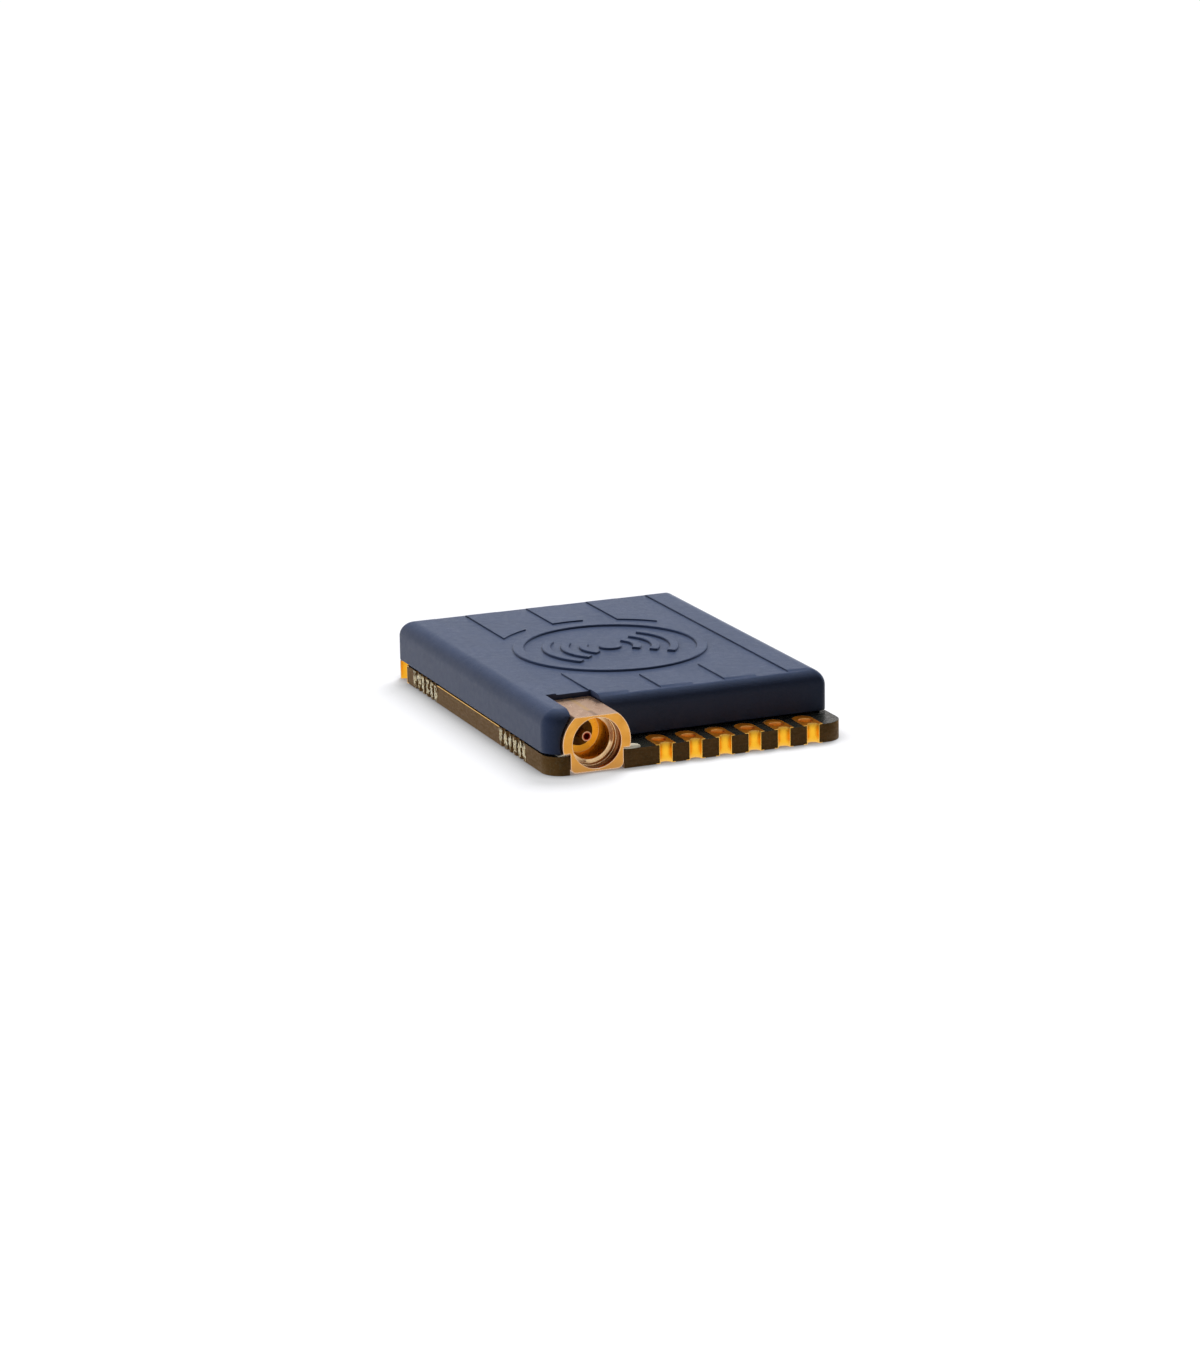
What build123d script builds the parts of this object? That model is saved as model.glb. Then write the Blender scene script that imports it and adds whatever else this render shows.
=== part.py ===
"""Board-mount analogue video transmitter for small model aircraft.

Sizes are millimetres. X runs across the module, Y along it and Z up. The origin is on the
underside, in the middle of the outline. The coax jack and the row of solder pads face -Y.
"""

import os

from build123d import *

# Circuit board
module_width = 20.0
module_length = 27.0
board_thickness = 1.2
board_front_corner = 1.3
board_back_corner = 0.45
copper_thickness = 0.05

# Remnants of the tabs that held the board in its panel, on both long edges
scallop_radius = 0.3
scallop_depth = 0.15
scallop_pitch = 0.8
scallop_count = 5
rear_tab_from_back = 5.2
front_tab_from_front = 6.1

# Row of solder pads on the front edge: a land, a plated hole and a plated half hole each
pad_count = 6
pad_pitch = 2.0
pad_width = 1.3
pad_length = 2.25
pad_row_shift = 0.265
pad_hole_radius = 0.46
pad_hole_setback = 1.15
pad_half_hole_radius = 0.39
plating = 0.045

# Plated half holes near the two back corners, and the copper beside the long edges
corner_hole_radius = 0.6
corner_hole_from_back = 1.05
corner_land_ring = 0.3
edge_copper_width = 0.5
edge_copper_gap = 0.4

# Underside
ground_pad_width = 9.0
ground_pad_length = 8.0
ground_pad_from_back = 7.5
test_pad_size = 0.8
test_pad_pitch = 1.6
test_pad_count = 5
test_pads_from_front = 7.0

# Coax jack, let into the front edge
jack_from_left = 3.17
jack_axis_height = 1.85
jack_radius = 2.25
jack_top_flat = 1.75
jack_foot_width = 3.5
jack_foot_height = 1.35
jack_foot_lift = 0.08
jack_foot_corner = 0.4
jack_length = 4.4
jack_slot_gap = 0.05
mouth_radius = 1.6
mouth_depth = 1.2
socket_radius = 1.33
socket_depth = 2.9
snap_groove_radius = 1.66
snap_groove_depth = 0.6
snap_groove_width = 0.3
insulator_bore_radius = 0.88
insulator_depth = 2.85
jack_clearance = 0.02
contact_radius = 0.31
contact_depth = 1.65
contact_hole_radius = 0.2
contact_hole_depth = 1.3
contact_tail_radius = 0.2
contact_tail_reach = 0.85
fillet_joint_setback = 0.2
fillet_joint_length = 2.2
fillet_joint_reach = 0.75

# Moulded cover
adhesive_thickness = 0.1
adhesive_setback = 0.35
adhesive_inset = 0.12
cover_height = 2.7
cover_setback = 2.65
cover_nub_setback = 0.25
cover_wall = 0.7
cover_roof = 0.6
cover_corner_radius = 0.45
cover_nub_corner = 1.15
cover_edge_radius = 1.05
cover_inner_corner = 0.6
jack_notch_width = 3.0
jack_notch_depth = 4.6
jack_relief = 0.06

# Relief on the cover's top: raised strips, and an emblem in a clear round field
strip_rise = 0.09
strip_pitch = 4.35
strip_width = 2.175
inner_strips = 3
emblem_rise = 0.14
emblem_y = 0.65
emblem_outer_radius = 6.3
emblem_inner_radius = 5.6
emblem_field_radius = 7.35
emblem_bevel = 0.05
wave_radii = (1.75, 2.95, 4.15)
wave_width = 0.55
wave_spread = 84.0
source_dot_radius = 0.75

# Screening can over the radio parts
shield_width = 11.0
shield_length = 10.0
shield_height = 1.15
shield_sheet = 0.15
shield_flange = 0.7
shield_corner = 0.5
shield_wall_gap = 0.5
shield_lid_gap = 0.03
shield_lid_skirt = 0.75
shield_foot_pitch = 3.0
shield_foot_gap = 0.5
shield_foot_lift = 0.2
thermal_pad_size = 5.0

# Side-pushed tactile button at the right edge
button_from_front = 15.1
button_travel = 0.2
button_case_width = 3.6
button_case_depth = 2.2
button_case_height = 1.4
button_case_gap = 0.1
button_case_wall = 0.3
button_back_wall = 0.6
button_floor = 0.25
button_side_wall = 0.5
button_shell_sheet = 0.1
button_shell_skirt = 0.8
button_running_gap = 0.05
plunger_width = 1.4
plunger_height = 0.8
plunger_flange_width = 2.2
plunger_flange_depth = 0.5
plunger_recess = 0.1
dome_thickness = 0.08
dome_gap = 0.03
terminal_width = 0.6
terminal_reach = 0.4
button_opening_gap = 0.15

# Indicator lamps beside the button
lamp_width = 1.5
lamp_depth = 0.6
lamp_height = 0.6
lamp_wall_gap = 0.1
lamp_count = 3
lamp_pitch = 1.8
last_lamp_from_back = 2.6
lamp_window_width = 1.1
lamp_window_height = 0.6
lamp_dome_radius = 0.35

# Parts on the board: across, along, high
radio_chip_size = (5.0, 5.0, 0.85)
amplifier_chip_size = (3.0, 3.0, 0.85)
filter_size = (2.0, 1.25, 0.9)
crystal_size = (3.2, 2.5, 0.75)
controller_size = (4.0, 4.0, 0.85)
inductor_size = (4.0, 4.0, 1.8)
small_outline_size = (1.6, 2.9, 1.1)
bulk_capacitor_size = (3.2, 1.6, 1.3)
chip_capacitor_size = (1.0, 0.5, 0.5)
chip_resistor_size = (1.0, 0.5, 0.35)
lead_pitch = 0.95
lead_width = 0.35
lead_thickness = 0.12
lead_reach = 0.55
top_bevel = 0.04
first_pin_bevel = 0.3
terminal_band = 0.25
terminal_swell = 0.02
ferrite_corner_cut = 0.5
crystal_lid_inset = 0.3

# Places in the can, measured from its middle
radio_chip_place = (-2.1, 1.7)
amplifier_chip_place = (-2.4, -2.9)
filter_place = (0.9, -3.2)
crystal_place = (2.6, 2.2)
lying_capacitor_places = ((3.2, -2.6), (3.2, -3.6))
upright_capacitor_places = ((-4.2, -4.1), (-4.2, -2.8), (1.4, -1.0), (2.6, -1.0), (3.8, -1.0))

# Places outside the can
part_wall_gap = 0.8
part_gap = 0.6
chip_gap = 0.35
controller_from_front = 2.0
supply_chips_from_back = 6.4

# Places and levels worked out from the sizes above
half_width = module_width / 2
half_length = module_length / 2
board_top = board_thickness
copper_floor = board_top - copper_thickness
pad_hole_y = pad_hole_setback - half_length
corner_hole_y = half_length - corner_hole_from_back
ground_pad_y = half_length - ground_pad_from_back - ground_pad_length / 2
test_pad_y = test_pads_from_front - half_length
scallop_run = (scallop_count - 1) / 2 * scallop_pitch
rear_tab_y = half_length - rear_tab_from_back
front_tab_y = front_tab_from_front - half_length

jack_x = jack_from_left - half_width
jack_z = jack_axis_height
jack_rear = jack_length - half_length
board_slot_half = jack_foot_width / 2 + jack_slot_gap
board_slot_rear = jack_rear + 2 * jack_slot_gap

pad_row_x = (jack_x + board_slot_half + half_width) / 2 + pad_row_shift
first_pad_x = pad_row_x - (pad_count - 1) / 2 * pad_pitch

cover_bottom = board_top + adhesive_thickness
cover_top = cover_bottom + cover_height
channel_floor = cover_top - emblem_rise
strip_top = channel_floor + strip_rise
cover_ceiling = channel_floor - cover_roof
cover_front = cover_setback - half_length
cover_nub_front = cover_nub_setback - half_length
notch_rear = jack_notch_depth - half_length
relief_radius = jack_radius + jack_relief

room_left = cover_wall - half_width
room_right = half_width - cover_wall
room_front = cover_front + cover_wall
room_back = half_length - cover_wall
jack_wall_rear = notch_rear + cover_wall
jack_wall_right = jack_x + relief_radius + cover_wall

shield_x = room_left + shield_wall_gap + shield_width / 2
shield_y = jack_wall_rear + shield_wall_gap + shield_length / 2
shield_top = board_top + shield_height
lid_top = shield_top + shield_sheet

button_y = button_from_front - half_length
case_front = room_right - button_case_gap
case_back = case_front - button_case_depth
case_top = board_top + button_case_height
well_front = case_front - button_case_wall
well_back = case_back + button_back_wall
well_floor = board_top + button_floor
well_half_width = button_case_width / 2 - button_side_wall
plunger_bottom = well_floor + button_running_gap
plunger_top = plunger_bottom + plunger_height
flange_front = well_front - button_running_gap
flange_back = flange_front - plunger_flange_depth

lamp_front = room_right - lamp_wall_gap
lamp_ys = [half_length - last_lamp_from_back - i * lamp_pitch for i in range(lamp_count)]

side_left = shield_x + shield_width / 2 + part_gap
controller_x = side_left + controller_size[0] / 2
controller_y = room_front + controller_from_front + controller_size[1] / 2
side_chip_step_x = chip_capacitor_size[0] + chip_gap
side_chip_step_y = chip_capacitor_size[1] + chip_gap
side_chip_front = controller_y + controller_size[1] / 2 + part_gap

regulator_half = small_outline_size[0] / 2 + lead_reach
inductor_x = room_left + part_wall_gap + inductor_size[0] / 2
step_down_x = inductor_x + inductor_size[0] / 2 + part_gap + regulator_half
linear_x = step_down_x + 2 * regulator_half + part_gap
bulk_x = linear_x + regulator_half + part_gap + bulk_capacitor_size[0] / 2
supply_chip_y = room_back - supply_chips_from_back

overcut = 1.0


def rect(x0, x1, y0, y1):
    """Flat rectangle between two corners."""
    return Pos((x0 + x1) / 2, (y0 + y1) / 2) * Rectangle(x1 - x0, y1 - y0)


def slab(outline, z0, z1):
    """Flat outline raised from z0 to z1."""
    return extrude(Pos(0, 0, z0) * outline, amount=z1 - z0)


def block(x0, x1, y0, y1, z0, z1):
    """Box between two corners."""
    return slab(rect(x0, x1, y0, y1), z0, z1)


def post(x, y, radius, z0, z1):
    """Upright cylinder."""
    return slab(Pos(x, y) * Circle(radius), z0, z1)


def vertical_edges(part):
    return part.edges().filter_by(Axis.Z)


def top_edges(part):
    return part.edges().group_by(Axis.Z)[-1]


def group(parts):
    """Separate pieces of one kind, kept as separate solids."""
    return Part() + list(parts)


# Board and copper


def pad_xs():
    return [first_pad_x + i * pad_pitch for i in range(pad_count)]


def pad_land(x):
    """Land seen from above: square at the board's edge and round at its rear."""
    rear_centre = pad_length - pad_width / 2 - half_length
    flat = rect(x - pad_width / 2, x + pad_width / 2, -half_length, rear_centre)
    return flat + Pos(x, rear_centre) * Circle(pad_width / 2)


def pad_foot(x):
    """Land on the underside, plain and square."""
    half = pad_width / 2
    return rect(x - half, x + half, -half_length, pad_length - half_length)


def both_faces(outline):
    """The copper of one outline, set into the top and into the underside."""
    return slab(outline, copper_floor, board_top) + slab(outline, 0, copper_thickness)


def board_outline():
    outline = Rectangle(module_width, module_length)
    ends = outline.vertices().group_by(Axis.Y)
    return fillet(ends[-1], board_back_corner) & fillet(ends[0], board_front_corner)


def corner_land(side):
    """Land about a corner hole, as much of it as lies on the board."""
    reach = corner_hole_radius + plating + corner_land_ring
    land = Pos(side * half_width, corner_hole_y) * Rectangle(2 * reach, 2 * reach)
    return land & board_outline()


def scallops(side):
    """Half-round bites that the panel's drilled tabs leave in one long edge."""
    x = side * (half_width + scallop_radius - scallop_depth)
    return [
        post(x, y - scallop_run + i * scallop_pitch, scallop_radius, 0, board_top)
        for y in (front_tab_y, rear_tab_y)
        for i in range(scallop_count)
    ]


def edge_strip(side):
    """Narrow ground copper beside one long edge, between the two tabs."""
    clear = scallop_run + scallop_radius + edge_copper_gap
    outer = side * half_width
    inner = side * (half_width - edge_copper_width)
    outline = rect(min(inner, outer), max(inner, outer), front_tab_y + clear, rear_tab_y - clear)
    return slab(outline, copper_floor, board_top)


def test_pad_xs():
    return [(i - (test_pad_count - 1) / 2) * test_pad_pitch for i in range(test_pad_count)]


def circuit_board():
    board = slab(board_outline(), 0, board_top)
    slot = block(
        jack_x - board_slot_half,
        jack_x + board_slot_half,
        -half_length - overcut,
        board_slot_rear,
        0,
        board_top,
    )
    board -= slot
    for x in pad_xs():
        board -= slab(pad_foot(x), 0, copper_thickness)
        board -= post(x, pad_hole_y, pad_hole_radius + plating, 0, board_top)
        board -= post(x, -half_length, pad_half_hole_radius + plating, 0, board_top)
    for side in (-1, 1):
        board -= both_faces(corner_land(side))
        board -= post(side * half_width, corner_hole_y, corner_hole_radius + plating, 0, board_top)
        board -= scallops(side)
        board -= edge_strip(side)
    board -= bottom_ground_pad()
    return board - test_pads()


def castellated_pad(x):
    """Lands on both faces, joined by a plated hole and by a plated half hole in the edge."""
    top = board_top + copper_thickness
    pad = slab(pad_land(x), board_top, top) + slab(pad_foot(x), 0, copper_thickness)
    pad += post(x, pad_hole_y, pad_hole_radius + plating, 0, top)
    edge = post(x, -half_length, pad_half_hole_radius + plating, 0, top)
    pad += edge & block(x - pad_width, x + pad_width, -half_length, half_length, 0, top)
    pad -= post(x, pad_hole_y, pad_hole_radius, 0, top)
    return pad - post(x, -half_length, pad_half_hole_radius, 0, top)


def corner_pad(side):
    pad = both_faces(corner_land(side))
    barrel = Pos(side * half_width, corner_hole_y) * Circle(corner_hole_radius + plating)
    pad += slab(barrel & board_outline(), 0, board_top)
    return pad - post(side * half_width, corner_hole_y, corner_hole_radius, 0, board_top)


def ground_outline():
    return Pos(0, ground_pad_y) * Rectangle(ground_pad_width, ground_pad_length)


def bottom_ground_pad():
    return slab(ground_outline(), 0, copper_thickness)


def test_pads():
    outline = Rectangle(test_pad_size, test_pad_size)
    return group(slab(Pos(x, test_pad_y) * outline, 0, copper_thickness) for x in test_pad_xs())


# Coax jack


def jack_section():
    """The jack seen from the front, with its axis at the sketch's origin."""
    barrel = Circle(jack_radius)
    barrel &= rect(-jack_radius, jack_radius, jack_foot_height - jack_z, jack_top_flat)
    foot_half = jack_foot_width / 2
    foot = rect(-foot_half, foot_half, jack_foot_lift - jack_z, 0)
    foot = fillet(foot.vertices().group_by(Axis.Y)[0], jack_foot_corner)
    return barrel + foot


def from_jack_face(depth):
    """Plane square to the jack's axis, at a depth behind its face."""
    return Plane.XZ.offset(half_length - depth) * Pos(jack_x, jack_z)


def turned(points):
    """Solid of revolution about the jack's axis, from points of radius and depth."""
    place = Pos(jack_x, -half_length, jack_z)
    face = place * make_face(Polyline(*points, close=True))
    return revolve(face, axis=Axis((jack_x, -half_length, jack_z), (0, 1, 0)))


def jack_bore():
    groove_end = snap_groove_depth + snap_groove_width
    return turned(
        [
            (0, -overcut),
            (mouth_radius, -overcut),
            (mouth_radius, snap_groove_depth),
            (snap_groove_radius, snap_groove_depth),
            (snap_groove_radius, groove_end),
            (mouth_radius, groove_end),
            (mouth_radius, mouth_depth),
            (socket_radius, mouth_depth),
            (socket_radius, socket_depth),
            (insulator_bore_radius, socket_depth),
            (insulator_bore_radius, jack_length + overcut),
            (0, jack_length + overcut),
        ]
    )


def jack_body():
    body = extrude(from_jack_face(0) * jack_section(), amount=-jack_length)
    return body - jack_bore()


def jack_insulator():
    """Plastic bead round the contact, pressed into the rear of the bore."""
    hole = contact_radius + jack_clearance
    rim = insulator_bore_radius - jack_clearance
    return turned(
        [(hole, insulator_depth), (rim, insulator_depth), (rim, jack_length), (hole, jack_length)]
    )


def jack_contact():
    """Socket contact on the axis, with a thinner tail that reaches over the board."""
    tail_end = jack_length + contact_tail_reach
    hole_end = contact_depth + contact_hole_depth
    return turned(
        [
            (contact_hole_radius, contact_depth),
            (contact_radius, contact_depth),
            (contact_radius, jack_length),
            (contact_tail_radius, jack_length),
            (contact_tail_radius, tail_end),
            (0, tail_end),
            (0, hole_end),
            (contact_hole_radius, hole_end),
        ]
    )


def wing_fillet(side):
    """Solder run between the jack's shoulder and the board beside the slot."""
    root = board_slot_half - jack_slot_gap
    rise = jack_foot_height
    span = fillet_joint_reach
    start = side * root
    end = side * (root + span)
    low = board_top - jack_z
    high = rise - jack_z
    shoulder = side * (jack_radius - 3 * jack_slot_gap)
    corner = Line((start, low), (end, low))
    slope = ThreePointArc(
        (end, low), (side * (root + 0.8 * span), low + 0.3 * (high - low)), (shoulder, high)
    )
    close_up = Polyline((shoulder, high), (start, high), (start, low))
    outline = make_face(corner + slope + close_up)
    return extrude(from_jack_face(fillet_joint_setback) * outline, amount=-fillet_joint_length)


def signal_joint():
    """Mound of solder under the contact's tail."""
    y = jack_rear + contact_tail_reach - contact_tail_radius
    base = 2.2 * contact_tail_radius
    top = 1.2 * contact_tail_radius
    mound = loft([
        Pos(jack_x, y, board_top) * Circle(base),
        Pos(jack_x, y, jack_z) * Circle(top),
    ])
    tail = turned(
        [
            (0, jack_length - overcut),
            (contact_tail_radius, jack_length - overcut),
            (contact_tail_radius, jack_length + contact_tail_reach + overcut),
            (0, jack_length + contact_tail_reach + overcut),
        ]
    )
    return mound - tail


def jack_solder_joints():
    return group([wing_fillet(-1), wing_fillet(1), signal_joint()])


# Cover and its adhesive


def cover_outline():
    """Cover seen from above: full width behind the pads, with a nub beside the jack."""
    return make_face(
        Polyline(
            (-half_width, cover_nub_front),
            (jack_x, cover_nub_front),
            (jack_x, cover_front),
            (half_width, cover_front),
            (half_width, half_length),
            (-half_width, half_length),
            close=True,
        )
    )


def room_outline():
    """Hollow of the cover, which steps round the jack."""
    return make_face(
        Polyline(
            (room_left, jack_wall_rear),
            (jack_wall_right, jack_wall_rear),
            (jack_wall_right, room_front),
            (room_right, room_front),
            (room_right, room_back),
            (room_left, room_back),
            close=True,
        )
    )


def outer_corners(part):
    """Upright edges on the two long sides of a solid."""
    reach = max(abs(edge.center().X) for edge in vertical_edges(part))
    return [e for e in vertical_edges(part) if abs(abs(e.center().X) - reach) < 0.001]


def round_nub(part, inset=0.0):
    """Rounds the nub's corner, of the cover or of an outline set in from it."""
    front = cover_nub_front + inset
    corner = [e for e in outer_corners(part) if abs(e.center().Y - front) < 0.001]
    return fillet(corner, cover_nub_corner - inset)


def round_others(part, inset=0.0):
    """Rounds the three corners away from the nub, which are tighter."""
    for y in (cover_front + inset, half_length - inset):
        corners = [e for e in outer_corners(part) if abs(e.center().Y - y) < 0.001]
        part = fillet(corners, cover_corner_radius - inset)
    return part


def sunk_field():
    """Bands between the raised strips, and the round field about the emblem."""
    outer = (inner_strips + 1) / 2 * strip_pitch - strip_width / 2
    field = rect(-outer, outer, -module_length, module_length)
    middle = (inner_strips - 1) / 2
    for i in range(inner_strips):
        x = (i - middle) * strip_pitch
        field -= rect(x - strip_width / 2, x + strip_width / 2, -module_length, module_length)
    return field + Pos(0, emblem_y) * Circle(emblem_field_radius)


def raised_rib(inner, outer, start=0.0, spread=360.0):
    """Rib of the emblem, turned about its centre, with bevelled upper edges."""
    foot = channel_floor - emblem_rise
    section = rect(inner, outer, foot, cover_top)
    section = chamfer(section.vertices().group_by(Axis.Y)[-1], emblem_bevel)
    rib = revolve(Plane.XZ * section, axis=Axis.Z, revolution_arc=spread)
    return Pos(0, emblem_y, 0) * Rot(Z=start) * rib


def source_dot():
    dot = post(0, emblem_y, source_dot_radius, channel_floor - emblem_rise, cover_top)
    return chamfer(top_edges(dot), emblem_bevel)


def emblem():
    """Plain broadcast sign: a ring, a dot and waves that spread to both sides."""
    ribs = [raised_rib(emblem_inner_radius, emblem_outer_radius), source_dot()]
    for radius in wave_radii:
        for heading in (0.0, 180.0):
            start = heading - wave_spread / 2
            inner = radius - wave_width / 2
            ribs.append(raised_rib(inner, inner + wave_width, start, wave_spread))
    return ribs


def jack_notch():
    """Room for the jack: a straight notch in the top and a round relief below it."""
    half = jack_notch_width / 2
    front = -half_length - overcut
    notch = block(jack_x - half, jack_x + half, front, notch_rear, 0, cover_top)
    depth = jack_notch_depth + overcut
    relief = extrude(from_jack_face(-overcut) * Circle(relief_radius), amount=-depth)
    tail_half = 3 * contact_tail_radius
    tail_top = jack_z + tail_half
    tail = block(jack_x - tail_half, jack_x + tail_half, front, jack_wall_rear + overcut, 0, tail_top)
    return notch + relief + tail


def side_openings():
    """Openings in the right wall for the button and for the light of the lamps."""
    half = plunger_flange_width / 2 + button_opening_gap
    outer = half_width + overcut
    start = room_right - overcut / 2
    top = case_top + button_shell_sheet + button_opening_gap
    cuts = [block(start, outer, button_y - half, button_y + half, 0, top)]
    window = lamp_window_width / 2
    window_top = cover_bottom + lamp_window_height
    for y in lamp_ys:
        cuts.append(block(start, outer, y - window, y + window, 0, window_top))
    return cuts


def moulded_cover():
    cover = round_nub(slab(cover_outline(), cover_bottom, strip_top))
    cover = fillet(top_edges(cover), cover_edge_radius)
    cover = round_others(cover)
    cover -= slab(sunk_field(), channel_floor, cover_top)
    cover += emblem()
    room = slab(room_outline(), 0, cover_ceiling)
    room = fillet(outer_corners(room), cover_inner_corner)
    cover -= room
    cover -= jack_notch()
    return cover - side_openings()


def cover_adhesive():
    """Thin double-sided gasket under the cover's rim."""
    rim = offset(cover_outline(), -adhesive_setback, kind=Kind.INTERSECTION)
    gasket = round_nub(slab(rim, board_top, cover_bottom), adhesive_setback)
    gasket = round_others(gasket, adhesive_setback)
    gasket -= slab(offset(room_outline(), adhesive_inset, kind=Kind.INTERSECTION), 0, cover_top)
    half = relief_radius + adhesive_inset
    front = -half_length - overcut
    rear = notch_rear + adhesive_inset
    gasket -= block(jack_x - half, jack_x + half, front, rear, 0, cover_top)
    tail_half = 3 * contact_tail_radius + adhesive_inset
    gasket -= block(jack_x - tail_half, jack_x + tail_half, front, jack_wall_rear, 0, cover_top)
    half_opening = plunger_flange_width / 2 + button_opening_gap + adhesive_inset
    right = half_width + overcut
    start = room_right - overcut / 2
    return gasket - block(start, right, button_y - half_opening, button_y + half_opening, 0, cover_top)


# Screening can


def shield_outline(inset=0.0):
    width = shield_width - 2 * inset
    length = shield_length - 2 * inset
    return Pos(shield_x, shield_y) * RectangleRounded(width, length, shield_corner - min(inset, 0.3))


def shield_frame():
    """Drawn frame with an inward flange, on feet that are soldered to the board."""
    frame = slab(shield_outline(), board_top, shield_top)
    frame -= slab(shield_outline(shield_sheet), board_top, shield_top - shield_sheet)
    frame -= slab(shield_outline(shield_sheet + shield_flange), board_top, shield_top)
    lift = board_top + shield_foot_lift
    along = int((shield_length - 2 * shield_corner) / shield_foot_pitch)
    across = int((shield_width - 2 * shield_corner) / shield_foot_pitch)
    for i in range(along):
        y = shield_y + (i - (along - 1) / 2) * shield_foot_pitch
        gap = shield_foot_gap / 2
        reach = shield_width / 2 + overcut
        frame -= block(shield_x - reach, shield_x + reach, y - gap, y + gap, 0, lift)
    for i in range(across):
        x = shield_x + (i - (across - 1) / 2) * shield_foot_pitch
        gap = shield_foot_gap / 2
        reach = shield_length / 2 + overcut
        frame -= block(x - gap, x + gap, shield_y - reach, shield_y + reach, 0, lift)
    return frame


def shield_lid():
    """Pressed lid that snaps over the frame."""
    skirt_bottom = shield_top - shield_lid_skirt
    lid = slab(shield_outline(-shield_lid_gap - shield_sheet), skirt_bottom, lid_top)
    lid -= slab(shield_outline(-shield_lid_gap), skirt_bottom, shield_top)
    return lid


def thermal_gap_pad():
    """Soft pad that carries heat from the can to the cover."""
    outline = Pos(shield_x, shield_y) * Rectangle(thermal_pad_size, thermal_pad_size)
    return slab(outline, lid_top, cover_ceiling)


# Parts on the board


def seated(part, x, y, turn=0.0):
    """A part modelled at the origin, set on the board's top."""
    return Pos(x, y, board_top) * Rot(Z=turn) * part


def in_can(part, place, turn=0.0):
    """A part set on the board under the can, at a place measured from the can's middle."""
    return seated(part, shield_x + place[0], shield_y + place[1], turn)


def flat_pack(size):
    """Leadless chip package with bevelled top edges and a cut corner at its first pin."""
    width, length, height = size
    body = block(-width / 2, width / 2, -length / 2, length / 2, 0, height)
    first_pin = vertical_edges(body).sort_by(Axis.X)[:2].sort_by(Axis.Y)[-1]
    body = chamfer(first_pin, first_pin_bevel)
    return chamfer(top_edges(body), top_bevel)


def gull_lead():
    """Bent lead of a small package, from its flank down to the board."""
    foot = block(0, lead_reach, -lead_width / 2, lead_width / 2, 0, lead_thickness)
    knee = small_outline_size[2] / 2
    riser_x = lead_reach / 2
    riser = block(riser_x - lead_thickness, riser_x, -lead_width / 2, lead_width / 2, 0, knee)
    foot = foot - block(0, riser_x - lead_thickness, -lead_width, lead_width, 0, lead_thickness)
    shelf = block(0, riser_x, -lead_width / 2, lead_width / 2, knee - lead_thickness, knee)
    return foot + riser + shelf


def small_outline_pack():
    """Small moulded package on six bent leads."""
    width, length, height = small_outline_size
    body = block(-width / 2, width / 2, -length / 2, length / 2, lead_thickness, height)
    body = chamfer(top_edges(body), lead_thickness)
    for i in range(-1, 2):
        for turn in (0.0, 180.0):
            lead = Rot(Z=turn) * Pos(width / 2, i * lead_pitch, 0) * gull_lead()
            body += lead
    return body


def two_ended_chip(size):
    """Chip capacitor or resistor: a bar with slightly thicker metal ends."""
    width, length, height = size
    swell = terminal_swell
    bar = block(-width / 2, width / 2, swell - length / 2, length / 2 - swell, swell, height - swell)
    for side in (-1, 1):
        middle = side * (width - terminal_band) / 2
        bar += block(
            middle - terminal_band / 2,
            middle + terminal_band / 2,
            -length / 2,
            length / 2,
            0,
            height,
        )
    return bar


def radio_chip():
    return in_can(flat_pack(radio_chip_size), radio_chip_place)


def power_amplifier_chip():
    return in_can(flat_pack(amplifier_chip_size), amplifier_chip_place)


def low_pass_filter():
    return in_can(two_ended_chip(filter_size), filter_place)


def crystal():
    """Metal-lidded crystal: a ceramic base with a smaller lid."""
    width, length, height = crystal_size
    lid = crystal_lid_inset
    base = block(-width / 2, width / 2, -length / 2, length / 2, 0, height / 2)
    cap = block(lid - width / 2, width / 2 - lid, lid - length / 2, length / 2 - lid, 0, height)
    return in_can(base + fillet(vertical_edges(cap), lid), crystal_place)


def microcontroller():
    return seated(flat_pack(controller_size), controller_x, controller_y)


def power_inductor():
    """Shielded coil: a square ferrite block with cut corners."""
    width, length, height = inductor_size
    body = block(-width / 2, width / 2, -length / 2, length / 2, 0, height)
    body = chamfer(vertical_edges(body), ferrite_corner_cut)
    body = chamfer(top_edges(body), top_bevel)
    return seated(body, inductor_x, room_back - part_wall_gap - length / 2)


def step_down_regulator():
    y = room_back - part_wall_gap - small_outline_size[1] / 2
    return seated(small_outline_pack(), step_down_x, y)


def linear_regulator():
    y = room_back - part_wall_gap - small_outline_size[1] / 2
    return seated(small_outline_pack(), linear_x, y)


def bulk_capacitors():
    length = bulk_capacitor_size[1]
    y = room_back - part_wall_gap - length / 2
    chip = two_ended_chip(bulk_capacitor_size)
    return group(seated(chip, bulk_x, y - i * (length + part_gap)) for i in range(2))


def side_chips(chip, columns, row_count):
    """Rows of small chips between the controller and the button."""
    first_x = side_left + chip_capacitor_size[0] / 2
    first_y = side_chip_front + chip_capacitor_size[1] / 2
    return [
        seated(chip, first_x + column * side_chip_step_x, first_y + row * side_chip_step_y)
        for column in columns
        for row in range(row_count)
    ]


def chip_capacitors():
    """Small capacitors beside the chips that they serve."""
    chip = two_ended_chip(chip_capacitor_size)
    placed = [in_can(chip, place) for place in lying_capacitor_places]
    placed += [in_can(chip, place, 90) for place in upright_capacitor_places]
    placed += side_chips(chip, (0, 2), 3)
    placed += [seated(chip, x, supply_chip_y) for x in (inductor_x, step_down_x)]
    return group(placed)


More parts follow.
